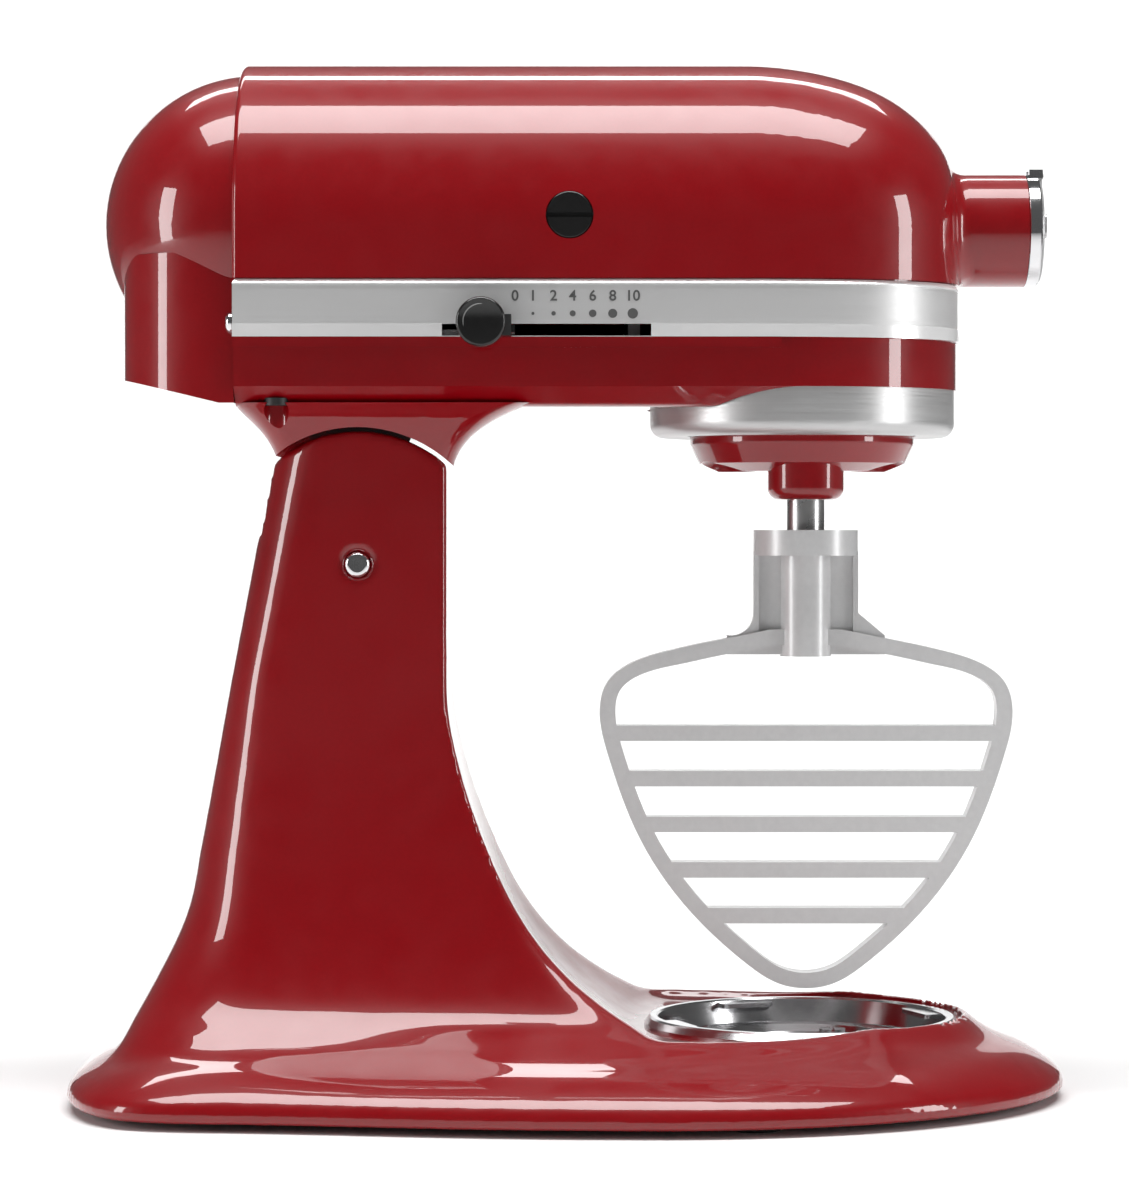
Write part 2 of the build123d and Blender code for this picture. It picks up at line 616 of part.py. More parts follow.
def tooth_points(teeth, inner, turn):
    """Corner points of a ring of straight-sided teeth about the origin, at this module."""
    pitch_r = teeth * GEAR_MODULE / 2
    pitch_angle = 2 * math.pi / teeth
    root_r = pitch_r + TOOTH_ROOT * (1 if inner else -1)
    tip_r = pitch_r - TOOTH_TIP * (1 if inner else -1)
    points = []
    for tooth in range(teeth):
        middle = math.radians(turn) + tooth * pitch_angle
        for radius, share in ((root_r, -0.62), (pitch_r, -0.4), (tip_r, -0.18), (tip_r, 0.18), (pitch_r, 0.4),
                              (root_r, 0.62)):
            angle = middle + share * pitch_angle / 2
            points.append((radius * math.cos(angle), radius * math.sin(angle)))
    return points


# ---------------------------------------------------------------- planetary drive
with BuildPart() as drip_ring:
    with BuildSketch(Plane.XZ):
        with BuildLine():
            Polyline((39.2, 226.4), (47, 225.8), (DRIP_R, 225.8), (DRIP_R, CASE_BOTTOM_Z),
                     (RING_OUTER_R, CASE_BOTTOM_Z), (RING_OUTER_R, RING_BOTTOM_Z), (39.2, RING_BOTTOM_Z), close=True)
        ring_face = make_face()
        fillet(ring_face.vertices().sort_by(Axis.Y)[:2].sort_by(Axis.X)[-1], 4.5)
    revolve(axis=Axis.Z)
drip_ring.part.locate(Location((PLANET_X, 0, 0)))
save(drip_ring, "drip_ring")

with BuildPart() as ring_gear:
    with BuildSketch(Plane.XY.offset(RING_BOTTOM_Z)):
        Circle(RING_OUTER_R)
        Polygon(*tooth_points(RING_TEETH, True, 180 / RING_TEETH), align=None, mode=Mode.SUBTRACT)
    extrude(amount=CASE_BOTTOM_Z - RING_BOTTOM_Z)
ring_gear.part.locate(Location((PLANET_X, 0, 0), (0, 0, 1), -90))
save(ring_gear, "ring_gear")

with BuildPart() as planetary_body:
    with BuildSketch(Plane.XZ):
        with BuildLine():
            Polyline((0, 214.1), (28.5, 214.1), (35.4, 216.9), (PLANETARY_R, 223.6), (PLANETARY_R, 226.2),
                     (28.5, 226.2), (28.5, 224), (0, 224), close=True)
        planetary_face = make_face()
        fillet(planetary_face.vertices().group_by(Axis.X)[-1].sort_by(Axis.Y)[:1], 2)
    revolve(axis=Axis.Z)
    # hub on the planetary shaft, boss of the agitator, and the scoops beside it
    post(0, 0, 220, 11, 229)
    post(0, AGITATOR_Y, 204.3, AGITATOR_BOSS_R, 224)
    fillet(planetary_body.edges().group_by(Axis.Z)[0], 4)
    for side in (-1, 1):
        with Locations((side * 27, -10, 206)):
            Sphere(13.5, mode=Mode.SUBTRACT)
    post(0, 0, 200, PLANETARY_SHAFT_R, 240, mode=Mode.SUBTRACT)
    post(0, AGITATOR_Y, 200, AGITATOR_R + 0.05, 240, mode=Mode.SUBTRACT)
planetary_body.part.locate(Location((PLANET_X, 0, 0)))
save(planetary_body, "planetary_body")

with BuildPart() as planetary_shaft:
    post(PLANET_X, 0, 215, PLANETARY_SHAFT_R, 283)
    chamfer(planetary_shaft.edges().filter_by(GeomType.CIRCLE), 0.6)
save(planetary_shaft, "planetary_shaft")

with BuildPart() as planetary_bearing:
    post(PLANET_X, 0, CASE_BOTTOM_Z + 0.5, BEARING_R, CASE_BOTTOM_Z + 14, PLANETARY_SHAFT_R + 0.05)
    chamfer(planetary_bearing.edges().filter_by(GeomType.CIRCLE), 0.4)
save(planetary_bearing, "planetary_bearing")

with BuildPart() as centre_gear:
    with BuildSketch(Plane.XY.offset(262)):
        Polygon(*tooth_points(CENTRE_TEETH, False, 0), align=None)
    extrude(amount=8)
    post(0, 0, 258, 12, 284)
    post(0, 0, 268, 26.5, CROWN_ROOT_Z)
    # crown of upright teeth that turns the attachment hub
    with BuildSketch(Plane.XY.offset(CROWN_ROOT_Z)):
        with PolarLocations(CROWN_R, CROWN_TEETH):
            Rectangle(6, 1.5)
    extrude(amount=2.2, taper=8)
    post(0, 0, 250, PLANETARY_SHAFT_R, 300, mode=Mode.SUBTRACT)
centre_gear.part.locate(Location((PLANET_X, 0, 0), (0, 0, 1), CENTRE_TURN))
save(centre_gear, "centre_gear")

with BuildPart() as worm_wheel_shaft:
    post(0, 0, CASE_FLOOR_Z + 1, 4, 304)
    with BuildSketch(Plane.XY.offset(261)):
        Polygon(*tooth_points(DRIVE_TEETH, False, 180 / DRIVE_TEETH), align=None)
    extrude(amount=10)
worm_wheel_shaft.part.locate(Location((WORM_WHEEL_X, WORM_WHEEL_Y, 0), (0, 0, 1), CENTRE_TURN))
save(worm_wheel_shaft, "worm_wheel_shaft")

with BuildPart() as worm_wheel:
    post(0, 0, 289.5, WORM_WHEEL_R - 1.1, 303)
    with BuildSketch(Plane.XY.offset(289.5)):
        with PolarLocations(WORM_WHEEL_R - 0.5, WORM_WHEEL_TEETH):
            Rectangle(1.8, 1.2)
    extrude(amount=13.5)
    post(0, 0, 280, 4, 310, mode=Mode.SUBTRACT)
worm_wheel.part.locate(Location((WORM_WHEEL_X, WORM_WHEEL_Y, 0)))
save(worm_wheel, "worm_wheel")

with BuildPart() as worm_wheel_bushes:
    post(WORM_WHEEL_X, WORM_WHEEL_Y, CASE_FLOOR_Z, 6, CASE_FLOOR_Z + 11, 4.05)
    post(WORM_WHEEL_X, WORM_WHEEL_Y, 303.4, 6, 309, 4.05)
save(worm_wheel_bushes, "worm_wheel_bushes")

with BuildPart() as gear_bracket:
    with BuildSketch(Plane.YZ.offset(BRACKET_X)):
        with Locations((0, 284)):
            Rectangle(84, 50)
        with Locations((0, HUB_Z)):
            Circle(8, mode=Mode.SUBTRACT)
    extrude(amount=4)
    with BuildSketch(Plane.XY.offset(305)):
        with Locations((BRACKET_X + 17, 6)):
            Rectangle(34, 56)
    extrude(amount=4)
    post(WORM_WHEEL_X, WORM_WHEEL_Y, 303.4, 9, 309)
    post(WORM_WHEEL_X, WORM_WHEEL_Y, 300, 6, 310, mode=Mode.SUBTRACT)
save(gear_bracket, "gear_bracket")

with BuildPart() as agitator_shaft:
    post(PLANET_X, AGITATOR_Y, 168, AGITATOR_R, 240)
    chamfer(agitator_shaft.edges().group_by(Axis.Z)[0], 1.2)
    with BuildSketch(Plane.XZ.offset(-AGITATOR_Y - 20)):
        with Locations((PLANET_X, PIN_Z)):
            Circle(PIN_R)
    extrude(amount=40, mode=Mode.SUBTRACT)
save(agitator_shaft, "agitator_shaft")

with BuildPart() as beater_pin:
    with BuildSketch(Plane.XZ.offset(-AGITATOR_Y - PIN_HALF)):
        with Locations((PLANET_X, PIN_Z)):
            Circle(PIN_R)
    extrude(amount=2 * PIN_HALF)
save(beater_pin, "beater_pin")

with BuildPart() as planet_pinion:
    with BuildSketch(Plane.XY.offset(RING_BOTTOM_Z + 0.3)):
        Polygon(*tooth_points(PLANET_TEETH, False, 0), align=None)
        Circle(AGITATOR_R, mode=Mode.SUBTRACT)
    extrude(amount=8)
planet_pinion.part.locate(Location((PLANET_X, AGITATOR_Y, 0), (0, 0, 1), -90))
save(planet_pinion, "planet_pinion")

# ---------------------------------------------------------------- attachment hub
with BuildPart() as hub_bush:
    disc(HUB_BUSH_X, HUB_Z, HUB_BUSH_R, HUB_SEAT_X, HUB_SOCKET_R + 0.05)
save(hub_bush, "hub_bush")

with BuildPart() as hub_drive_shaft:
    disc(PLANET_X + 16, HUB_Z, HUB_SHAFT_R, HUB_BUSH_X - 3)
    disc(HUB_BUSH_X - 3, HUB_Z, HUB_SOCKET_R, HUB_SEAT_X - 0.2)
    with BuildSketch(Plane.YZ.offset(HUB_SEAT_X)):
        with Locations((0, HUB_Z)):
            Rectangle(9.6, 9.6)
    extrude(amount=-13, mode=Mode.SUBTRACT)
save(hub_drive_shaft, "hub_drive_shaft")

with BuildPart() as hub_pinion:
    with BuildSketch(Plane.YZ.offset(PLANET_X + CROWN_R - 2.2)):
        Polygon(*tooth_points(HUB_TEETH, False, 0), align=None)
        Circle(HUB_SHAFT_R, mode=Mode.SUBTRACT)
    extrude(amount=4.4)
hub_pinion.part.locate(Location((0, 0, HUB_Z)))
save(hub_pinion, "hub_pinion")

with BuildPart() as hub_bezel:
    disc(HUB_FRONT_X, HUB_Z, HUB_R + 0.1, BEZEL_FRONT_X, HUB_BORE_R)
    chamfer(hub_bezel.edges().filter_by(GeomType.CIRCLE), 0.5)
    # two ears that carry the cover's hinge pin
    with BuildSketch(Plane.YZ.offset(BEZEL_FRONT_X - 3)):
        with Locations((-4.2, COVER_HINGE_Z + 0.5), (4.2, COVER_HINGE_Z + 0.5)):
            Rectangle(2.4, 2.9)
    extrude(amount=4.7)
    with BuildSketch(Plane.YZ.offset(BEZEL_FRONT_X - 1.4)):
        with Locations((0, COVER_HINGE_Z)):
            Rectangle(5.8, 5)
    extrude(amount=5, mode=Mode.SUBTRACT)
    with BuildSketch(Plane.XZ.offset(-10)):
        with Locations((COVER_HINGE_X, COVER_HINGE_Z)):
            Circle(0.8)
    extrude(amount=20, mode=Mode.SUBTRACT)
save(hub_bezel, "hub_bezel")

with BuildPart() as hub_cover:
    with BuildSketch(Plane.XY.offset(HUB_Z)):
        with BuildLine():
            Polyline((BEZEL_FRONT_X + 0.3, 0), (BEZEL_FRONT_X + 0.3, 17.1), (BEZEL_FRONT_X + 0.9, 17.5),
                     (BEZEL_FRONT_X + 1.5, 13), (BEZEL_FRONT_X + 1.7, 0), close=True)
        make_face()
    revolve(axis=Axis((0, 0, HUB_Z), (1, 0, 0)))
    # raised panel across the middle, and the knuckle at the top
    with BuildSketch(Plane.YZ.offset(BEZEL_FRONT_X + 1)):
        with Locations((0, HUB_Z + 1)):
            RectangleRounded(26, 8.2, 2)
    extrude(amount=1.2)
    with BuildSketch(Plane.XZ.offset(-2.6)):
        with Locations((COVER_HINGE_X, COVER_HINGE_Z)):
            Circle(1.7)
        with Locations((COVER_HINGE_X + 0.4, COVER_HINGE_Z - 2.5)):
            Rectangle(1.4, 5)
        with Locations((COVER_HINGE_X, COVER_HINGE_Z)):
            Circle(0.85, mode=Mode.SUBTRACT)
    extrude(amount=5.2)
save(hub_cover, "hub_cover")

with BuildPart() as hub_cover_pin:
    with BuildSketch(Plane.XZ.offset(-5.4)):
        with Locations((COVER_HINGE_X, COVER_HINGE_Z)):
            Circle(0.8)
    extrude(amount=10.8)
save(hub_cover_pin, "hub_cover_pin")

with BuildPart() as attachment_knob:
    with BuildSketch(Plane.XZ.offset(-HUB_R - 3)):
        with Locations((KNOB_X, HUB_Z)):
            Circle(11)
            with PolarLocations(11.6, 8):
                Circle(2, mode=Mode.SUBTRACT)
    extrude(amount=-12)
    fillet(attachment_knob.faces().sort_by(Axis.Y)[-1].edges(), 1)
    with BuildSketch(Plane.XZ.offset(-HUB_R - 3)):
        with Locations((KNOB_X, HUB_Z)):
            Circle(KNOB_SCREW_R - 0.06)
    extrude(amount=7.5)
save(attachment_knob, "attachment_knob")

# ---------------------------------------------------------------- motor
# built along Z with the thread's start at the origin, then laid along the motor axis
WORM_START_X = WORM_WHEEL_X - 2 * WORM_PITCH
with BuildPart() as rotor_shaft:
    with BuildLine(mode=Mode.PRIVATE) as thread_path:
        Helix(pitch=WORM_PITCH, height=4 * WORM_PITCH, radius=WORM_ROOT_R - 0.2)
    with BuildSketch(Plane(origin=thread_path.line @ 0, x_dir=(1, 0, 0), z_dir=thread_path.line % 0)):
        with BuildLine():
            Polyline((-0.6, -0.8), (1.9, -0.45), (1.9, 0.45), (-0.6, 0.8), close=True)
        make_face()
    sweep(path=thread_path.line, is_frenet=True)
    post(0, 0, -2, WORM_ROOT_R, 4 * WORM_PITCH + 2)
    post(0, 0, REAR_BEARING_X - 3 - WORM_START_X, ROTOR_SHAFT_R, 4 * WORM_PITCH + 5)
rotor_shaft.part.locate(Plane(origin=(WORM_START_X, 0, HUB_Z), x_dir=(0, 1, 0), z_dir=(1, 0, 0)).location)
save(rotor_shaft, "rotor_shaft")

with BuildPart() as rotor_core:
    disc(-76, HUB_Z, ROTOR_R, -26, ROTOR_SHAFT_R)
    # slots of the windings
    with BuildSketch(Plane.YZ.offset(-76)):
        with Locations((0, HUB_Z)):
            with PolarLocations(ROTOR_R - 3, 12):
                SlotOverall(8, 3)
    extrude(amount=50, mode=Mode.SUBTRACT)
save(rotor_core, "rotor_core")

with BuildPart() as rotor_windings:
    for x in (-86, -26):
        disc(x, HUB_Z, ROTOR_R - 2.5, x + 10, ROTOR_SHAFT_R)
    fillet(rotor_windings.edges().filter_by(GeomType.CIRCLE).group_by(SortBy.RADIUS)[-1], 3)
save(rotor_windings, "rotor_windings")

with BuildPart() as commutator:
    disc(BRUSH_X - 8, HUB_Z, COMMUTATOR_R, BRUSH_X + 8, ROTOR_SHAFT_R)
    with BuildSketch(Plane.YZ.offset(BRUSH_X - 8)):
        with Locations((0, HUB_Z)):
            with PolarLocations(COMMUTATOR_R, 24):
                Rectangle(1.2, 0.5)
    extrude(amount=16, mode=Mode.SUBTRACT)
save(commutator, "commutator")

with BuildPart() as cooling_fan:
    disc(-98, HUB_Z, 10, -89, ROTOR_SHAFT_R)
    disc(-98, HUB_Z, 36, -96.5, 9)
    with BuildSketch(Plane.YZ.offset(-97)):
        with Locations((0, HUB_Z)):
            with PolarLocations(22, 12, start_angle=8):
                Rectangle(26, 1.6, rotation=18)
    extrude(amount=8)
save(cooling_fan, "cooling_fan")

with BuildPart() as stator_core:
    disc(-72, HUB_Z, STATOR_R, -30, STATOR_R - 7)
    # two pole shoes close to the rotor
    with BuildSketch(Plane.YZ.offset(-72)):
        with Locations((0, HUB_Z)):
            Rectangle(34, 2 * STATOR_R - 10)
            Circle(ROTOR_R + 1, mode=Mode.SUBTRACT)
    extrude(amount=42)
save(stator_core, "stator_core")

with BuildPart() as field_coils:
    for side in (-1, 1):
        with BuildSketch(Plane.XY.offset(HUB_Z + side * 30 - 4)):
            with Locations((-51, 0)):
                RectangleRounded(56, 50, 8)
                Rectangle(42.6, 34.6, mode=Mode.SUBTRACT)
        extrude(amount=8)
    with BuildSketch(Plane.YZ.offset(-90)):
        with Locations((0, HUB_Z)):
            Circle(ROTOR_R + 1)
    extrude(amount=80, mode=Mode.SUBTRACT)
    with BuildSketch(Plane.YZ.offset(-72.4)):
        with Locations((0, HUB_Z)):
            Circle(60)
            Circle(STATOR_R - 7.3, mode=Mode.SUBTRACT)
    extrude(amount=42.8, mode=Mode.SUBTRACT)
save(field_coils, "field_coils")

with BuildPart() as motor_frame:
    for x in (-70, -38):
        disc(x, HUB_Z, STATOR_R + 3, x + 6, STATOR_R)
        with BuildSketch(Plane.YZ.offset(x)):
            with Locations((-48.5, HUB_Z - 12), (48.5, HUB_Z - 12)):
                Rectangle(9, 12)
            with Locations((0, HUB_Z)):
                Circle(STATOR_R, mode=Mode.SUBTRACT)
        extrude(amount=6)
save(motor_frame, "motor_frame")

with BuildPart() as rear_bearing_bracket:
    disc(REAR_BEARING_X - 1, HUB_Z, MOTOR_DOOR_R - 0.1, REAR_BEARING_X + 2, 32)
    with BuildSketch(Plane.YZ.offset(REAR_BEARING_X - 1)):
        with Locations((0, HUB_Z)):
            Rectangle(70, 10)
            Circle(8, mode=Mode.SUBTRACT)
    extrude(amount=3)
    disc(REAR_BEARING_X - 2.5, HUB_Z, 11, REAR_BEARING_X + 2.5, 8)
save(rear_bearing_bracket, "rear_bearing_bracket")

with BuildPart() as rotor_bearings:
    for x, radius in ((REAR_BEARING_X - 2.5, 8), (BRACKET_X - 0.5, 8)):
        disc(x, HUB_Z, radius, x + 5, ROTOR_SHAFT_R + 0.05)
save(rotor_bearings, "rotor_bearings")

with BuildPart() as control_board:
    with BuildSketch(Plane.YZ.offset(BOARD_X)):
        with Locations((0, 270)):
            Rectangle(76, 30)
    extrude(amount=1.6)
    with BuildSketch(Plane.YZ.offset(BOARD_X + 1.6)):
        with Locations((-16, 268), (4, 272)):
            Rectangle(10, 12)
        with Locations((20, 268)):
            Circle(6)
    extrude(amount=9)
save(control_board, "control_board")

with BuildPart() as board_posts:
    with BuildSketch(Plane.YZ.offset(BOARD_X + 1.6)):
        with Locations((-35.5, 263), (35.5, 263)):
            Circle(2.5)
    extrude(amount=HEAD_REAR_X - BOARD_X - 1.6)
save(board_posts, "board_posts")

for side, place in ((-1, "left"), (1, "right")):
    with BuildPart() as brush_holder:
        with BuildSketch(Plane.XZ.offset(-side * (COMMUTATOR_R + 2))):
            with Locations((BRUSH_X, BRUSH_Z)):
                Circle(BRUSH_CAP_R - 0.1)
                Rectangle(6.2, 8.2, mode=Mode.SUBTRACT)
        extrude(amount=-side * (HEAD_R - 18 - COMMUTATOR_R - 2))
    save(brush_holder, f"brush_holder_{place}")
    with BuildPart() as carbon_brush:
        with BuildSketch(Plane.XZ.offset(-side * (COMMUTATOR_R + 0.5))):
            with Locations((BRUSH_X, BRUSH_Z)):
                Rectangle(6, 8)
        extrude(amount=-side * 14)
    save(carbon_brush, f"carbon_brush_{place}")
    with BuildPart() as brush_cap:
        with BuildSketch(Plane.XZ.offset(-side * (HEAD_R - 17.8))):
            with Locations((BRUSH_X, BRUSH_Z)):
                Circle(BRUSH_CAP_R - 0.1)
        extrude(amount=-side * 17.4)
        outer_face = brush_cap.faces().sort_by(Axis.Y)[-1 if side > 0 else 0]
        fillet(outer_face.edges(), 0.7)
        with BuildSketch(Plane.XZ.offset(-side * (HEAD_R + 1))):
            with Locations((BRUSH_X, BRUSH_Z)):
                Rectangle(20, 1.6)
        extrude(amount=side * 3, mode=Mode.SUBTRACT)
    save(brush_cap, f"brush_cap_{place}")

# ---------------------------------------------------------------- controls
with BuildPart() as speed_lever:
    # flat lever inside the slot, then the post and the round knob outside
    with BuildSketch(Plane.XY.offset(SPEED_Z - 3.4)):
        with Locations((SPEED_X + 4, -HEAD_R - 1)):
            Rectangle(14, 22)
    extrude(amount=2.6)
    with BuildSketch(Plane.XZ.offset(HEAD_R + 3)):
        with Locations((SPEED_X, SPEED_Z)):
            Circle(KNOB_R - 1.2)
    extrude(amount=7)
    with BuildSketch(Plane.XZ.offset(HEAD_R + 8)):
        with Locations((SPEED_X, SPEED_Z)):
            Circle(KNOB_R)
    extrude(amount=9)
    fillet(speed_lever.faces().sort_by(Axis.Y)[0].edges(), 1.2)
    # dished front
    with Locations((SPEED_X, -HEAD_R - 17 - 17, SPEED_Z)):
        Sphere(18.6, mode=Mode.SUBTRACT)
    # pointer block beside the knob
    with BuildSketch(Plane.XZ.offset(HEAD_R + 2)):
        with Locations((SPEED_X + 7.4, SPEED_Z - 1)):
            Rectangle(5, 7)
    extrude(amount=12)
save(speed_lever, "speed_lever")

with BuildPart() as control_plate:
    with BuildSketch(Plane.XY.offset(SPEED_Z - 3.4)):
        with Locations((-55, -42)):
            Rectangle(70, 12)
    extrude(amount=2)
save(control_plate, "control_plate")

with BuildPart() as lock_lever:
    # round pivot in the neck on the far side, and the lever below it
    with BuildSketch(Plane.XZ.offset(-LOCK_Y)):
        with Locations((LOCK_X, LOCK_Z)):
            Circle(6.5)
        with Locations((LOCK_X + 13, LOCK_Z)):
            SlotOverall(34, 9)
    extrude(amount=-4)
    fillet(lock_lever.faces().sort_by(Axis.Y)[-1].edges(), 1)
    with BuildSketch(Plane.XZ.offset(-LOCK_Y)):
        with Locations((LOCK_X, LOCK_Z)):
            Circle(3.94)
    extrude(amount=9)
save(lock_lever, "lock_lever")

# ---------------------------------------------------------------- covers' small parts
with BuildPart() as case_screws:
    for x, y in CASE_SCREWS:
        post(x, y, CASE_SCREW_Z - 2.4, 4, CASE_SCREW_Z)
        post(x, y, CASE_SCREW_Z, 2, CASE_SCREW_Z + 8)
save(case_screws, "case_screws")

with BuildPart() as cord_gland:
    with BuildSketch(Plane.XZ.offset(-CASE_HALF + 5)):
        with Locations((GLAND_X, GLAND_Z)):
            Circle(GLAND_R)
    extrude(amount=-10)
    fillet(cord_gland.faces().sort_by(Axis.Y)[-1].edges(), 1.5)
    with BuildSketch(Plane.XZ.offset(-CASE_HALF + 6)):
        with Locations((GLAND_X, GLAND_Z)):
            Circle(GLAND_R - 2.9)
    extrude(amount=-12, mode=Mode.SUBTRACT)
save(cord_gland, "cord_gland")

# ---------------------------------------------------------------- beater
BEATER_HALF_OUTLINE = [
    (0, 39), (19.3, 46.7), (41, 67.1), (57.6, 92.5), (67, 118), (69.8, 133.1), (66.7, 143.3), (45.7, 153.5),
    (12, 160.5),
]


def beater_outline(inset=0.0):
    """The beater's outer line in front view, about its own axis, drawn in by the inset."""
    points = []
    for before, point, after in zip(BEATER_HALF_OUTLINE, BEATER_HALF_OUTLINE[1:], BEATER_HALF_OUTLINE[2:]):
        run = math.dist(before, after)
        normal = ((before[1] - after[1]) / run, (after[0] - before[0]) / run)
        points.append((point[0] + inset * normal[0], point[1] + inset * normal[1]))
    first = (0, BEATER_HALF_OUTLINE[0][1] + inset)
    last = (BEATER_HALF_OUTLINE[-1][0], BEATER_HALF_OUTLINE[-1][1] - inset)
    with BuildLine() as outline:
        Spline(first, *points, last, tangents=[(1, 0), (-1, 0.2)])
        Line(last, (0, last[1]))
        mirror(about=Plane.YZ)
    make_face(outline.edges())


BEATER_FACE = Plane.XZ.offset(-AGITATOR_Y - BEATER_DEPTH / 2)
with BuildPart() as flat_beater:
    with BuildSketch(BEATER_FACE):
        beater_outline()
    extrude(amount=BEATER_DEPTH)
    with BuildSketch(BEATER_FACE):
        beater_outline(BEATER_BAR)
        for height in BEATER_BAR_HEIGHTS:
            with Locations((0, height)):
                Rectangle(150, BEATER_BAR, mode=Mode.SUBTRACT)
    extrude(amount=BEATER_DEPTH, mode=Mode.SUBTRACT)
    # web with a rim, which flares into the top bar
    for depth, half, edge in ((3, 17.7, 0), (5.4, 17.7, 1.8)):
        with BuildSketch(Plane.XZ.offset(-AGITATOR_Y - depth / 2)):
            with BuildLine():
                Line((-half, 187), (-half, 166))
                TangentArc((-half, 166), (-half - 9, 158.5), tangent=(0, -1))
                Line((-half - 9, 158.5), (-half - 9, 152))
                Line((-half - 9, 152), (half + 9, 152))
                Line((half + 9, 152), (half + 9, 158.5))
                Line((half + 9, 158.5), (half, 166))
                Line((half, 166), (half, 187))
                Line((half, 187), (-half, 187))
            make_face()
            if edge:
                with Locations((0, 176)):
                    Rectangle(2 * (half - edge), 40, mode=Mode.SUBTRACT)
        extrude(amount=depth)
    post(0, AGITATOR_Y, 151.4, BEATER_TUBE_R, BEATER_COLLAR_Z + 1)
    post(0, AGITATOR_Y, BEATER_COLLAR_Z, BEATER_COLLAR_R, BEATER_TOP_Z)
    # bore, and the pocket and entry slot of the cross pin
    post(0, AGITATOR_Y, 162, AGITATOR_R + 0.08, BEATER_TOP_Z, mode=Mode.SUBTRACT)
    post(0, AGITATOR_Y, BEATER_COLLAR_Z + 1.3, PIN_HALF + 1, BEATER_TOP_Z - 1.9, mode=Mode.SUBTRACT)
    with BuildSketch(Plane.XY.offset(BEATER_COLLAR_Z + 1.3)):
        with Locations((0, AGITATOR_Y)):
            Rectangle(2 * PIN_HALF + 2, 2 * PIN_R + 1)
    extrude(amount=20, mode=Mode.SUBTRACT)
flat_beater.part.locate(Location((PLANET_X, 0, 0)))
save(flat_beater, "flat_beater")
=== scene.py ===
import math

import bmesh
import bpy
from mathutils import Matrix, Vector


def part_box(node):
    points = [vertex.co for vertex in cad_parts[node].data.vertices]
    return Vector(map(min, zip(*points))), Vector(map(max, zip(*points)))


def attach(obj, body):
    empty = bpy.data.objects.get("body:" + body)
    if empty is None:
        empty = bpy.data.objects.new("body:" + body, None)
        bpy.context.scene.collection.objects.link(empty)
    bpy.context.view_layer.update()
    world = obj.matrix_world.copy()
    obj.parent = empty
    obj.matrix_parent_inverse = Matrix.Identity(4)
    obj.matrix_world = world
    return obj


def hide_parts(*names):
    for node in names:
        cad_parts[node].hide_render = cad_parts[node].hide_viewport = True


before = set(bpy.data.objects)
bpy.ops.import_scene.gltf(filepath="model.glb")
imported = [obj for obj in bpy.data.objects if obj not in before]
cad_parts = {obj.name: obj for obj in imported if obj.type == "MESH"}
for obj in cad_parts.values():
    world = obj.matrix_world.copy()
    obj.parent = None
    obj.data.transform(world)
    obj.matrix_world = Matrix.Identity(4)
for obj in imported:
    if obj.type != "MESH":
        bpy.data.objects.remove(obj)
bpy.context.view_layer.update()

# ---------------------------------------------------------------- camera
CAMERA_PLACE = (-0.0017, -1.34, 0.194)
CAMERA_PITCH = math.radians(1.02)
LENS_MM = 116.7
SENSOR_MM = 36.0


def add_camera():
    """A long lens in front of the speed-lever side, level with the middle of the mixer."""
    data = bpy.data.cameras.new("camera")
    data.lens = LENS_MM
    data.sensor_width = SENSOR_MM
    camera = bpy.data.objects.new("camera", data)
    camera.location = CAMERA_PLACE
    camera.rotation_euler = (math.pi / 2 - CAMERA_PITCH, 0, 0)
    bpy.context.collection.objects.link(camera)
    bpy.context.scene.camera = camera


add_camera()


# ---------------------------------------------------------------- materials
NOISE_LOW, NOISE_HIGH = 0.3, 0.7      # the part of the noise's range that most of it falls in


def new_material(name, color, metallic=0.0, roughness=0.4, coat=0.0, coat_roughness=0.03,
                 specular=0.5):
    """A Principled material; returns it with its node tree and shader for more detail."""
    material = bpy.data.materials.new(name)
    material.use_nodes = True
    tree = material.node_tree
    shader = tree.nodes["Principled BSDF"]
    shader.inputs["Base Color"].default_value = (*color, 1)
    shader.inputs["Metallic"].default_value = metallic
    shader.inputs["Roughness"].default_value = roughness
    shader.inputs["Coat Weight"].default_value = coat
    shader.inputs["Coat Roughness"].default_value = coat_roughness
    shader.inputs["Specular IOR Level"].default_value = specular
    material.diffuse_color = (*color, 1)
    return material, tree, shader


def object_noise(tree, scale, stretch=(1, 1, 1), detail=3.0):
    """Noise in the object's own coordinates, stretched for brushed or cast surfaces."""
    place = tree.nodes.new("ShaderNodeTexCoord")
    mapping = tree.nodes.new("ShaderNodeMapping")
    mapping.inputs["Scale"].default_value = stretch
    noise = tree.nodes.new("ShaderNodeTexNoise")
    noise.inputs["Scale"].default_value = scale
    noise.inputs["Detail"].default_value = detail
    tree.links.new(place.outputs["Object"], mapping.inputs["Vector"])
    tree.links.new(mapping.outputs["Vector"], noise.inputs["Vector"])
    return noise.outputs["Fac"]


def remap(tree, value, low, high):
    """Map noise onto a range of roughness or brightness."""
    ramp = tree.nodes.new("ShaderNodeMapRange")
    ramp.inputs["From Min"].default_value = NOISE_LOW
    ramp.inputs["From Max"].default_value = NOISE_HIGH
    ramp.inputs["To Min"].default_value = low
    ramp.inputs["To Max"].default_value = high
    tree.links.new(value, ramp.inputs["Value"])
    return ramp.outputs["Result"]


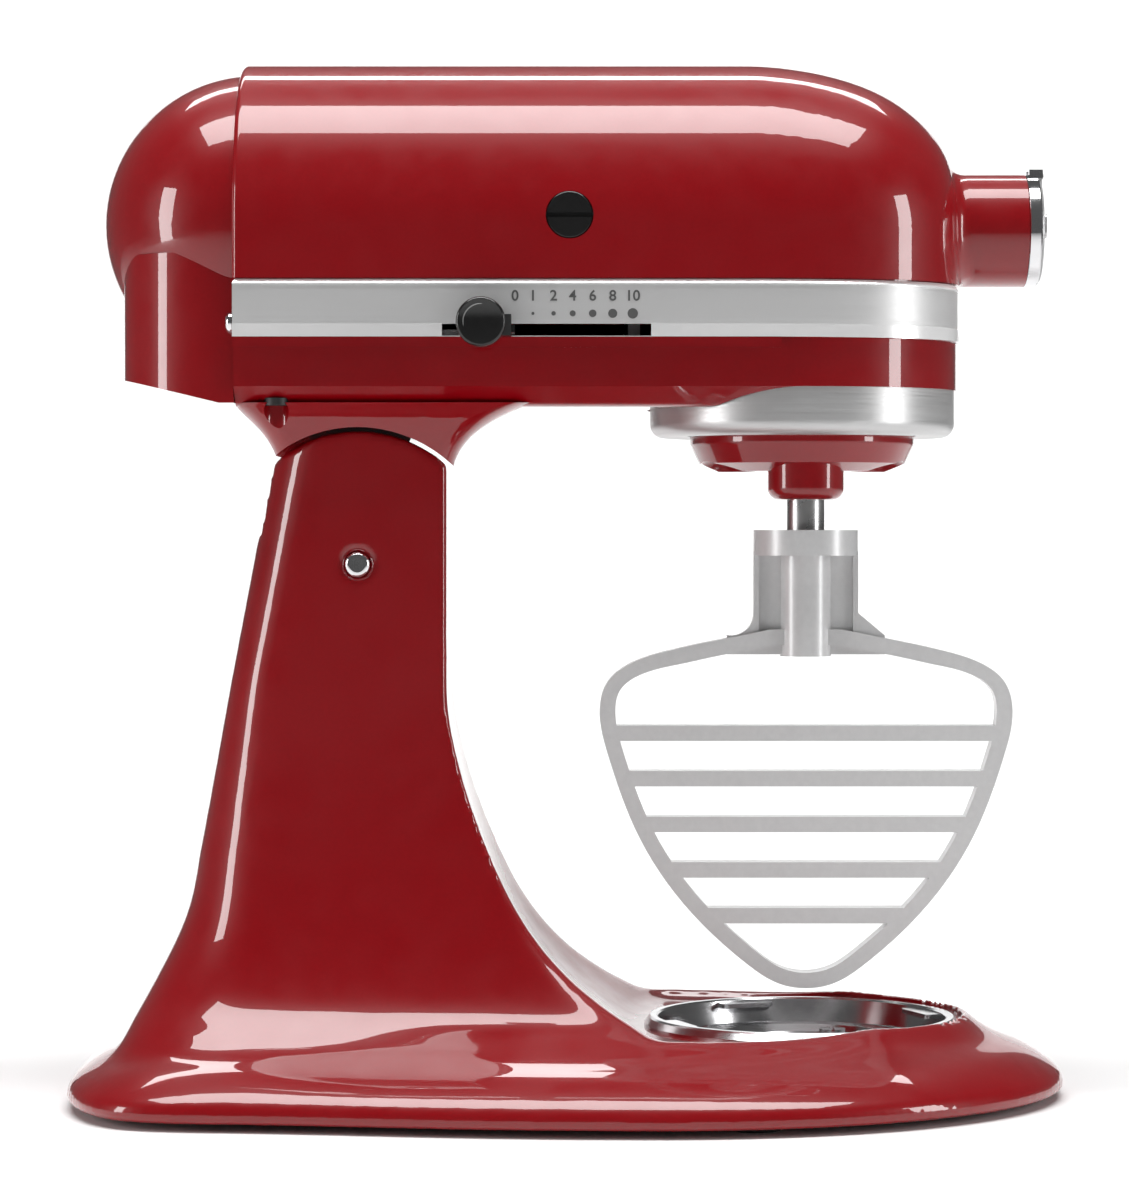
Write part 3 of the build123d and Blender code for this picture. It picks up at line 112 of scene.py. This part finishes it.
def add_bump(tree, shader, height, strength, distance):
    """Fine relief from a height value, with its depth in metres."""
    bump = tree.nodes.new("ShaderNodeBump")
    bump.inputs["Strength"].default_value = strength
    bump.inputs["Distance"].default_value = distance
    tree.links.new(height, bump.inputs["Height"])
    tree.links.new(bump.outputs["Normal"], shader.inputs["Normal"])


def vary_color(tree, shader, value, dark, light):
    """Blend between two close colours by a noise value."""
    mix = tree.nodes.new("ShaderNodeMix")
    mix.data_type = "RGBA"
    mix.inputs["A"].default_value = (*dark, 1)
    mix.inputs["B"].default_value = (*light, 1)
    tree.links.new(value, mix.inputs["Factor"])
    tree.links.new(mix.outputs["Result"], shader.inputs["Base Color"])


def math_node(tree, operation, first, second):
    """One arithmetic node; the second input is a number or another node's output."""
    node = tree.nodes.new("ShaderNodeMath")
    node.operation = operation
    tree.links.new(first, node.inputs[0])
    if isinstance(second, float):
        node.inputs[1].default_value = second
    else:
        tree.links.new(second, node.inputs[1])
    return node.outputs["Value"]


def red_enamel():
    """Deep red enamel under a clear gloss layer, with faint orange peel."""
    material, tree, shader = new_material("red_enamel", (0.24, 0.0, 0.003), roughness=0.35,
                                          coat=1.0, coat_roughness=0.02, specular=0.2)
    vary_color(tree, shader, object_noise(tree, 900), dark=(0.22, 0.0, 0.0025),
               light=(0.26, 0.0, 0.0035))
    tree.links.new(remap(tree, object_noise(tree, 90), 0.3, 0.42), shader.inputs["Roughness"])
    add_bump(tree, shader, object_noise(tree, 220, detail=1.0), 0.04, 0.0004)
    return material


def brushed_steel(name, color, roughness, stretch, metallic=1.0, spread=0.12):
    """Steel with fine brushing lines along the stretched direction."""
    material, tree, shader = new_material(name, color, metallic=metallic, roughness=roughness)
    lines = object_noise(tree, 60, stretch, detail=6.0)
    dark = tuple(0.86 * channel for channel in color)
    vary_color(tree, shader, lines, dark, color)
    tree.links.new(remap(tree, lines, roughness - spread / 2, roughness + spread),
                   shader.inputs["Roughness"])
    add_bump(tree, shader, lines, 0.12, 0.0001)
    return material


def banded_steel(name, color, edges, brushed, polished):
    """Brushed steel, polished above and below its edges, which are heights in metres; the polished
    strips also carry a painted highlight, a near-white colour.
    """
    material, tree, shader = new_material(name, color, metallic=0.35, roughness=brushed)
    lines = object_noise(tree, 60, (0.03, 0.03, 40), detail=6.0)
    place = tree.nodes.new("ShaderNodeTexCoord")
    split = tree.nodes.new("ShaderNodeSeparateXYZ")
    tree.links.new(place.outputs["Object"], split.inputs["Vector"])
    low = math_node(tree, "GREATER_THAN", split.outputs["Z"], edges[0])
    high = math_node(tree, "LESS_THAN", split.outputs["Z"], edges[1])
    face = math_node(tree, "MULTIPLY", low, high)
    mix = tree.nodes.new("ShaderNodeMix")
    mix.inputs["A"].default_value = polished
    tree.links.new(remap(tree, lines, brushed - 0.06, brushed + 0.1), mix.inputs["B"])
    tree.links.new(face, mix.inputs["Factor"])
    tree.links.new(mix.outputs["Result"], shader.inputs["Roughness"])
    # painted highlight: the polished strips above and below the face are coloured near-white
    rim_highlight = tree.nodes.new("ShaderNodeMix")
    rim_highlight.data_type = "RGBA"
    rim_highlight.inputs["A"].default_value = (*BAND_RIM_HIGHLIGHT_COLOR, 1)
    rim_highlight.inputs["B"].default_value = (*color, 1)
    tree.links.new(face, rim_highlight.inputs["Factor"])
    tree.links.new(rim_highlight.outputs["Result"], shader.inputs["Base Color"])
    add_bump(tree, shader, lines, 0.1, 0.0001)
    return material


def polished_metal(name, color, roughness):
    """Polished metal with faint unevenness in its gloss."""
    material, tree, shader = new_material(name, color, metallic=1.0, roughness=roughness)
    tree.links.new(remap(tree, object_noise(tree, 120), roughness, roughness + 0.08),
                   shader.inputs["Roughness"])
    add_bump(tree, shader, object_noise(tree, 300, detail=1.0), 0.03, 0.0001)
    return material


def coated_beater():
    """Silver-grey coating on cast aluminium, slightly pebbled."""
    material, tree, shader = new_material("beater_coating", (0.6, 0.6, 0.6), metallic=0.15,
                                          roughness=0.34, coat=0.35, coat_roughness=0.18)
    vary_color(tree, shader, object_noise(tree, 500), dark=(0.56, 0.56, 0.565),
               light=(0.64, 0.64, 0.64))
    add_bump(tree, shader, object_noise(tree, 1500, detail=2.0), 0.12, 0.0001)
    return material


def moulded_plastic(name, color, roughness, grain=0.1):
    """Moulded plastic with a fine grain."""
    material, tree, shader = new_material(name, color, roughness=roughness)
    dark = tuple(0.8 * channel for channel in color)
    vary_color(tree, shader, object_noise(tree, 400), dark, color)
    tree.links.new(remap(tree, object_noise(tree, 700), roughness, roughness + 0.1),
                   shader.inputs["Roughness"])
    add_bump(tree, shader, object_noise(tree, 2500, detail=1.0), grain, 0.0001)
    return material


BAND_EDGES = (0.2622, 0.2751)         # the brushed face lies between these heights
# near-white colour of the band's polished strips, a painted highlight
BAND_RIM_HIGHLIGHT_COLOR = (0.95, 0.95, 0.95)

ENAMEL = red_enamel()
BAND = banded_steel("band_steel", (0.62, 0.62, 0.62), BAND_EDGES, 0.36, 0.2)
RING = brushed_steel("ring_steel", (0.6, 0.6, 0.6), 0.34, (0.3, 0.3, 40), metallic=0.6)
CHROME = polished_metal("chrome", (0.72, 0.72, 0.73), 0.08)
PLATE = polished_metal("plate_steel", (0.6, 0.6, 0.61), 0.14)
SHAFT = polished_metal("machined_steel", (0.5, 0.5, 0.5), 0.25)
CASTING = brushed_steel("bare_casting", (0.5, 0.5, 0.5), 0.45, (1, 1, 1))
BRASS = polished_metal("brass", (0.68, 0.48, 0.2), 0.3)
COPPER = brushed_steel("copper_wire", (0.66, 0.28, 0.13), 0.35, (1, 1, 20))
BEATER = coated_beater()
# grey of the painted highlight arc on the speed knob's face
HIGHLIGHT_ARC_GREY = polished_metal("knob_highlight_grey", (0.3, 0.3, 0.3), 0.3)
GLOSS_BLACK = moulded_plastic("gloss_black", (0.012, 0.012, 0.012), 0.14, 0.03)
MATT_BLACK = moulded_plastic("matt_black", (0.02, 0.02, 0.02), 0.45)
RUBBER = moulded_plastic("rubber", (0.025, 0.025, 0.025), 0.65, 0.3)
BOARD = moulded_plastic("board_green", (0.02, 0.12, 0.05), 0.5)
DIAL_INK = moulded_plastic("dial_ink", (0.1, 0.1, 0.1), 0.5)
WHITE_INK = moulded_plastic("white_ink", (0.75, 0.75, 0.75), 0.4)

NODE_MATERIALS = {
    ENAMEL: ("pedestal_casting", "motor_housing", "gear_case", "rear_cover", "planetary_body"),
    BAND: ("trim_band",),
    RING: ("drip_ring", "hub_cover"),
    CHROME: ("tilt_pin", "band_screws", "hub_bezel", "hub_cover_pin", "clamp_plate_screws"),
    PLATE: ("bowl_clamp_plate",),
    SHAFT: ("agitator_shaft", "beater_pin", "planet_pinion", "planetary_shaft", "centre_gear",
            "ring_gear", "rotor_shaft", "worm_wheel_shaft", "hub_drive_shaft", "hub_pinion",
            "planetary_bearing", "rotor_bearings", "control_plate"),
    CASTING: ("gear_bracket", "motor_frame", "rear_bearing_bracket", "stator_core", "rotor_core",
              "board_posts"),
    BRASS: ("worm_wheel", "worm_wheel_bushes", "hub_bush"),
    COPPER: ("field_coils", "rotor_windings", "commutator"),
    BEATER: ("flat_beater",),
    GLOSS_BLACK: ("speed_lever", "attachment_knob", "lock_lever", "brush_cap_left",
                  "brush_cap_right"),
    MATT_BLACK: ("case_screws", "cooling_fan", "brush_holder_left", "brush_holder_right",
                 "carbon_brush_left", "carbon_brush_right"),
    RUBBER: ("rubber_feet", "cord_gland"),
    BOARD: ("control_board",),
}

for node_material, node_names in NODE_MATERIALS.items():
    for node_name in node_names:
        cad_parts[node_name].data.materials.clear()
        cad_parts[node_name].data.materials.append(node_material)


# ---------------------------------------------------------------- pedestal's skin
SKIN_VOXEL = 0.0014
FLOW_LEVELS = 12                      # steps of the smoothing's weight
FLOW_RISE_Z = (0.009, 0.015)          # smoothing fades in over these heights
FLOW_FALL_Z = (0.055, 0.085)          # and fades out over these
SEAT_CLEAR = (0.0565, 0.068)          # distance from the clamp plate's centre where it may begin
SMOOTH_FACTOR = 0.5
FLOW_PASSES, POLISH_PASSES = 130, 3


def ramp(value, low, high):
    """0 below low, 1 above high, and even in between."""
    return min(max((value - low) / (high - low), 0.0), 1.0)


def baked(piece):
    """The piece's mesh with its modifiers applied."""
    bpy.context.view_layer.update()
    depsgraph = bpy.context.evaluated_depsgraph_get()
    mesh = bpy.data.meshes.new_from_object(piece.evaluated_get(depsgraph))
    piece.modifiers.clear()
    piece.data = mesh
    return mesh


def add_pedestal_skin():
    """The casting remeshed, with its base and column flowing into each other as in poured metal."""
    low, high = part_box("pedestal_casting")
    plate_low, plate_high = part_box("bowl_clamp_plate")
    plate_x = (plate_low.x + plate_high.x) / 2
    skin = bpy.data.objects.new("pedestal_skin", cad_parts["pedestal_casting"].data.copy())
    bpy.context.collection.objects.link(skin)
    remesh = skin.modifiers.new("remesh", "REMESH")
    remesh.mode = "VOXEL"
    remesh.voxel_size = SKIN_VOXEL
    mesh = baked(skin)
    levels = [[] for level in range(FLOW_LEVELS + 1)]
    for vertex in mesh.vertices:
        x, y, z = vertex.co
        from_plate = math.hypot(x - plate_x, y)
        weight = ramp(z, *FLOW_RISE_Z) * (1 - ramp(z, *FLOW_FALL_Z))
        weight *= ramp(from_plate, *SEAT_CLEAR)
        levels[round(weight * FLOW_LEVELS)].append(vertex.index)
    flow = skin.vertex_groups.new(name="flow")
    for level, members in enumerate(levels):
        if members:
            flow.add(members, level / FLOW_LEVELS, "REPLACE")
    easing = skin.modifiers.new("flow", "SMOOTH")
    easing.factor = SMOOTH_FACTOR
    easing.iterations = FLOW_PASSES
    easing.vertex_group = "flow"
    polish = skin.modifiers.new("polish", "SMOOTH")
    polish.factor = SMOOTH_FACTOR
    polish.iterations = POLISH_PASSES
    mesh = baked(skin)
    for vertex in mesh.vertices:
        vertex.co = [min(max(place, small), large)
                     for place, small, large in zip(vertex.co, low, high)]
    mesh.shade_smooth()
    mesh.materials.clear()
    mesh.materials.append(ENAMEL)
    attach(skin, "stand")
    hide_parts("pedestal_casting")


add_pedestal_skin()


# ---------------------------------------------------------------- printed dial and small details
PRINT_DEPTH = 0.00012
PRINT_SPREAD = 0.00008                # how far the print thickens a figure's strokes
FONT_SIZE_PER_HEIGHT = 1.4
DOT_SEGMENTS, DOT_CROWN = 40, 0.94    # the crown is the share of the radius at the dot's top
ARC_STEPS, ARC_SIDES = 56, 10
ARC_TIP = 0.02                        # the arc's taper stops this short of nothing
ARC_FLATNESS = 0.3


def add_piece(name, mesh, material, body):
    """Put a finished mesh in the scene, riding on its body."""
    mesh.materials.append(material)
    piece = bpy.data.objects.new(name, mesh)
    bpy.context.collection.objects.link(piece)
    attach(piece, body)


def add_number(text, x, z, y, height):
    """One printed number of the dial, standing on the band's face."""
    curve = bpy.data.curves.new("dial_number_" + text, "FONT")
    curve.body = text
    curve.size = height * FONT_SIZE_PER_HEIGHT
    curve.align_x = "CENTER"
    curve.align_y = "CENTER"
    curve.extrude = PRINT_DEPTH / 2
    curve.offset = PRINT_SPREAD
    curve.materials.append(DIAL_INK)
    number = bpy.data.objects.new("dial_number_" + text, curve)
    number.location = (x, y, z)
    number.rotation_euler = (math.pi / 2, 0, 0)
    bpy.context.collection.objects.link(number)
    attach(number, "head")


def add_dot(name, x, z, y, radius):
    """One round printed mark of the dial, domed by a hair so that it catches the light."""
    ring = bmesh.new()
    bmesh.ops.create_cone(ring, cap_ends=True, segments=DOT_SEGMENTS, radius1=radius,
                          radius2=DOT_CROWN * radius, depth=PRINT_DEPTH)
    bmesh.ops.rotate(ring, verts=ring.verts, cent=(0, 0, 0),
                     matrix=Matrix.Rotation(math.pi / 2, 3, "X"))
    bmesh.ops.translate(ring, verts=ring.verts, vec=(x, y, z))
    mesh = bpy.data.meshes.new(name)
    ring.to_mesh(mesh)
    ring.free()
    add_piece(name, mesh, DIAL_INK, "head")


def add_highlight_arc(name, centre, radius, tube, start, end, body):
    """A thin bright arc on the knob's face, a painted highlight standing for the gleam on its
    dished face, tapering to nothing at both ends.
    """
    arc = bmesh.new()
    rows = []
    for step in range(ARC_STEPS + 1):
        share = step / ARC_STEPS
        turn = math.radians(start + (end - start) * share)
        half_width = tube * math.sin(math.pi * min(max(share, ARC_TIP), 1 - ARC_TIP)) ** 0.5
        row = []
        for part in range(ARC_SIDES):
            lean = 2 * math.pi * part / ARC_SIDES
            reach = radius + half_width * math.cos(lean)
            row.append(arc.verts.new((centre[0] + reach * math.cos(turn),
                                      centre[1] + ARC_FLATNESS * half_width * math.sin(lean),
                                      centre[2] + reach * math.sin(turn))))
        rows.append(row)
    for row, following in zip(rows, rows[1:]):
        for part in range(ARC_SIDES):
            after = (part + 1) % ARC_SIDES
            arc.faces.new((row[part], row[after], following[after], following[part]))
    arc.faces.new(rows[0])
    arc.faces.new(rows[-1])
    bmesh.ops.recalc_face_normals(arc, faces=arc.faces)
    mesh = bpy.data.meshes.new(name)
    arc.to_mesh(mesh)
    arc.free()
    mesh.shade_smooth()
    add_piece(name, mesh, HIGHLIGHT_ARC_GREY, body)


def add_pad(name, outline, y, depth, material, body):
    """A thin pad with a bevelled rim, from its outline in side view."""
    pad = bmesh.new()
    face = pad.faces.new([pad.verts.new((x, y, z)) for x, z in outline])
    raised = bmesh.ops.extrude_face_region(pad, geom=[face])["geom"]
    top = [item for item in raised if isinstance(item, bmesh.types.BMVert)]
    bmesh.ops.translate(pad, verts=top, vec=(0, -depth, 0))
    bmesh.ops.recalc_face_normals(pad, faces=pad.faces)
    bmesh.ops.bevel(pad, geom=list(pad.edges), offset=depth / 3, segments=2, affect="EDGES")
    mesh = bpy.data.meshes.new(name)
    pad.to_mesh(mesh)
    pad.free()
    add_piece(name, mesh, material, body)


BAND_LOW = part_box("trim_band")[0]
KNOB_LOW, KNOB_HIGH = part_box("speed_lever")
BAND_INSET = 0.00035                  # the face lies this far behind the band's widest point
FACE_Y = BAND_LOW.y + BAND_INSET - PRINT_DEPTH / 2
NUMBER_Z = BAND_LOW.z + 0.0133
DOT_Z = BAND_LOW.z + 0.0076
NUMBER_HEIGHT = 0.0035
DIAL_START_X = -0.0180
# each mark's number, its distance along the band and the radius of its dot
DIAL_MARKS = (("0", 0.0, 0.0), ("1", 0.0059, 0.0005), ("2", 0.0127, 0.00073),
              ("4", 0.0190, 0.0010), ("6", 0.0256, 0.00125), ("8", 0.0322, 0.0015),
              ("10", 0.0388, 0.00172))
for label, along, dot_radius in DIAL_MARKS:
    add_number(label, DIAL_START_X + along, NUMBER_Z, FACE_Y, NUMBER_HEIGHT)
    if dot_radius:
        add_dot("dial_dot_" + label, DIAL_START_X + along, DOT_Z, FACE_Y, dot_radius)

KNOB_R = 0.00815
KNOB_X = KNOB_LOW.x + KNOB_R
KNOB_Z = KNOB_HIGH.z - KNOB_R
# painted highlight: a bright grey arc on the knob's face stands for the gleam on its dished face
HIGHLIGHT_ARC_CENTRE = (KNOB_X, KNOB_LOW.y + 0.0007, KNOB_Z)
HIGHLIGHT_ARC_R, HIGHLIGHT_ARC_TUBE = 0.0061, 0.0006
HIGHLIGHT_ARC_DEGREES = (42, 238)
add_highlight_arc("knob_painted_highlight", HIGHLIGHT_ARC_CENTRE, HIGHLIGHT_ARC_R, HIGHLIGHT_ARC_TUBE, *HIGHLIGHT_ARC_DEGREES,
             "speed_control")

PAD_DEPTH = 0.0003
POINTER_Y = KNOB_LOW.y + 0.0031
POINTER_NEAR_X, POINTER_FAR_X = KNOB_X + 0.0050, KNOB_X + 0.0099
POINTER_LOW_Z, POINTER_HIGH_Z = KNOB_Z - 0.0045, KNOB_Z + 0.0025
POINTER_OUTLINE = [(POINTER_FAR_X, POINTER_HIGH_Z), (POINTER_NEAR_X, POINTER_HIGH_Z),
                   (POINTER_NEAR_X, POINTER_LOW_Z), (POINTER_FAR_X, POINTER_LOW_Z)]
add_pad("knob_pointer", POINTER_OUTLINE, POINTER_Y, PAD_DEPTH, MATT_BLACK, "speed_control")
INDEX_X, INDEX_Z, INDEX_HALF = KNOB_X + 0.0060, KNOB_Z - 0.0030, 0.0004
INDEX_PROUD = 0.0002                  # the index stands this far in front of the pointer's foot
INDEX_OUTLINE = [(INDEX_X + INDEX_HALF, INDEX_Z), (INDEX_X, INDEX_Z + INDEX_HALF),
                 (INDEX_X - INDEX_HALF, INDEX_Z), (INDEX_X, INDEX_Z - INDEX_HALF)]
add_pad("knob_index", INDEX_OUTLINE, POINTER_Y - INDEX_PROUD, PAD_DEPTH, WHITE_INK,
        "speed_control")


# ---------------------------------------------------------------- lights and stage
def add_area(name, place, target, size, watts):
    """A rectangular softbox that faces its target."""
    data = bpy.data.lights.new(name, "AREA")
    data.shape = "RECTANGLE"
    data.size, data.size_y = size
    data.energy = watts
    light = bpy.data.objects.new(name, data)
    light.location = place
    light.rotation_euler = (Vector(target) - Vector(place)).to_track_quat("-Z", "Y").to_euler()
    bpy.context.collection.objects.link(light)


def add_plane(name, corners, material):
    """A flat staged sheet through four corners."""
    mesh = bpy.data.meshes.new(name)
    mesh.from_pydata(corners, [], [(0, 1, 2, 3)])
    mesh.materials.append(material)
    sheet = bpy.data.objects.new(name, mesh)
    bpy.context.collection.objects.link(sheet)


WHITE_STAGE = new_material("stage_white", (0.9, 0.9, 0.9), roughness=0.9, specular=0.0)[0]
FLOOR_HALF, FLOOR_FRONT_Y, WALL_Y = 3, -2, 1.6
WALL_HALF, WALL_TOP = 0.7, 0.85
add_plane("floor", [(-FLOOR_HALF, FLOOR_FRONT_Y, 0), (FLOOR_HALF, FLOOR_FRONT_Y, 0),
                    (FLOOR_HALF, WALL_Y, 0), (-FLOOR_HALF, WALL_Y, 0)], WHITE_STAGE)
add_plane("backdrop", [(-WALL_HALF, WALL_Y, 0), (WALL_HALF, WALL_Y, 0),
                       (WALL_HALF, WALL_Y, WALL_TOP), (-WALL_HALF, WALL_Y, WALL_TOP)], WHITE_STAGE)

# each light's name, place, target, size and watts
SOFTBOXES = (
    ("top_softbox", (0, -0.24, 1.5), (0, -0.24, 0.3), (1.6, 0.54), 26),
    ("left_softbox", (-1.6, -0.55, 0.42), (0, 0, 0.2), (0.34, 1.0), 11),
    ("right_softbox", (1.6, -0.6, 0.42), (0, 0, 0.2), (0.3, 1.0), 10),
    ("backdrop_light", (0, 0.95, 1.5), (0, WALL_Y, 0.35), (1.6, 0.5), 21),
)
for softbox in SOFTBOXES:
    add_area(*softbox)

WORLD_STRENGTH = 0.1
world = bpy.data.worlds.new("studio")
bpy.context.scene.world = world
world.use_nodes = True
background = world.node_tree.nodes["Background"]
background.inputs["Color"].default_value = (1, 1, 1, 1)
background.inputs["Strength"].default_value = WORLD_STRENGTH
bpy.context.scene.view_settings.view_transform = "Standard"
